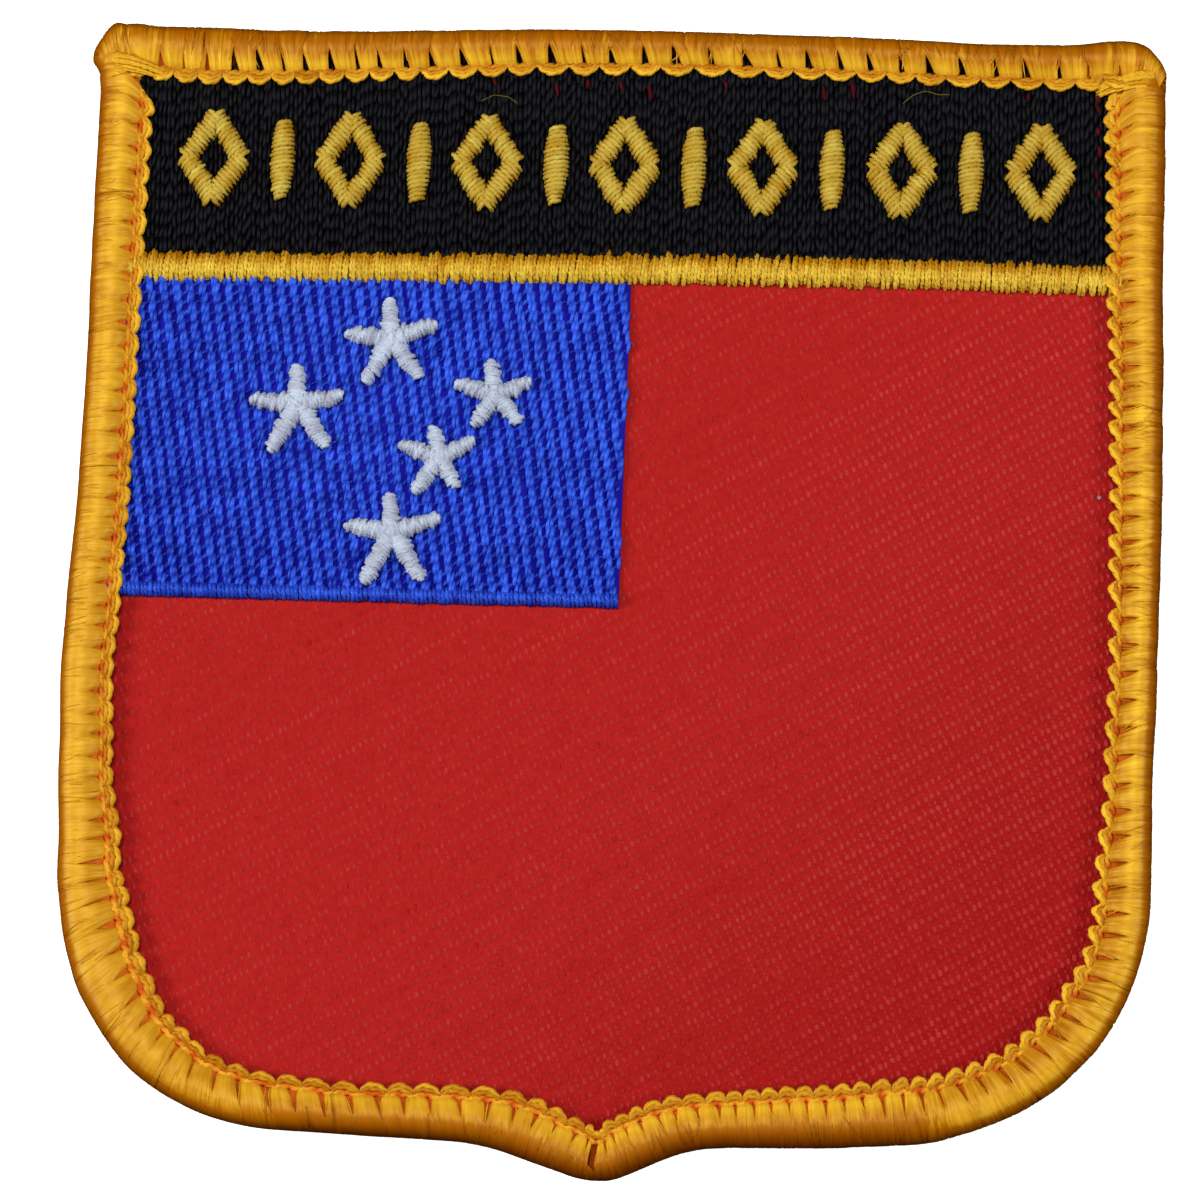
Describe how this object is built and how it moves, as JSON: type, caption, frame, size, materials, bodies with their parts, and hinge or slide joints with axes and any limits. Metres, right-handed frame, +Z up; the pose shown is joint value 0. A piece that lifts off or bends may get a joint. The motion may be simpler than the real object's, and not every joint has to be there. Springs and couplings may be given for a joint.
{
  "type": "embroidered patch",
  "caption": "Shield-shaped embroidered cloth patch with a thick gold overlocked border, a black band over a gold bar, and a blue starred canton on red twill.",
  "frame": {"origin": "under the middle of the patch's box, on the surface that the border's underside rests on", "axes": "+X to the right of the face, +Y towards the straight top edge, +Z up out of the face"},
  "size_m": [0.0652, 0.0698, 0.0026],
  "materials": {
    "gold_border_thread": "glossy polyester thread, overlocked",
    "gold_satin_thread": "rayon satin stitch, soft sheen",
    "red_twill": "matt polyester-cotton twill",
    "blue_thread": "fill stitch, bright sheen",
    "black_thread": "fill stitch, soft sheen",
    "white_thread": "satin stitch, slightly fuzzy"
  },
  "bodies": {
    "root": {"ground_cloth": "red_twill", "border": "gold_border_thread", "purl_edge": "gold_border_thread", "title_field": "black_thread", "divider_bar": "gold_satin_thread", "canton": "blue_thread", "canton_hem": "blue_thread", "star_1": "white_thread", "star_2": "white_thread", "star_3": "white_thread", "star_4": "white_thread", "star_5": "white_thread", "lozenge_1": "gold_satin_thread", "lozenge_2": "gold_satin_thread", "lozenge_3": "gold_satin_thread", "lozenge_4": "gold_satin_thread", "lozenge_5": "gold_satin_thread", "lozenge_6": "gold_satin_thread", "lozenge_7": "gold_satin_thread", "spindle_1": "gold_satin_thread", "spindle_2": "gold_satin_thread", "spindle_3": "gold_satin_thread", "spindle_4": "gold_satin_thread", "spindle_5": "gold_satin_thread", "spindle_6": "gold_satin_thread"}
  },
  "joints": []
}
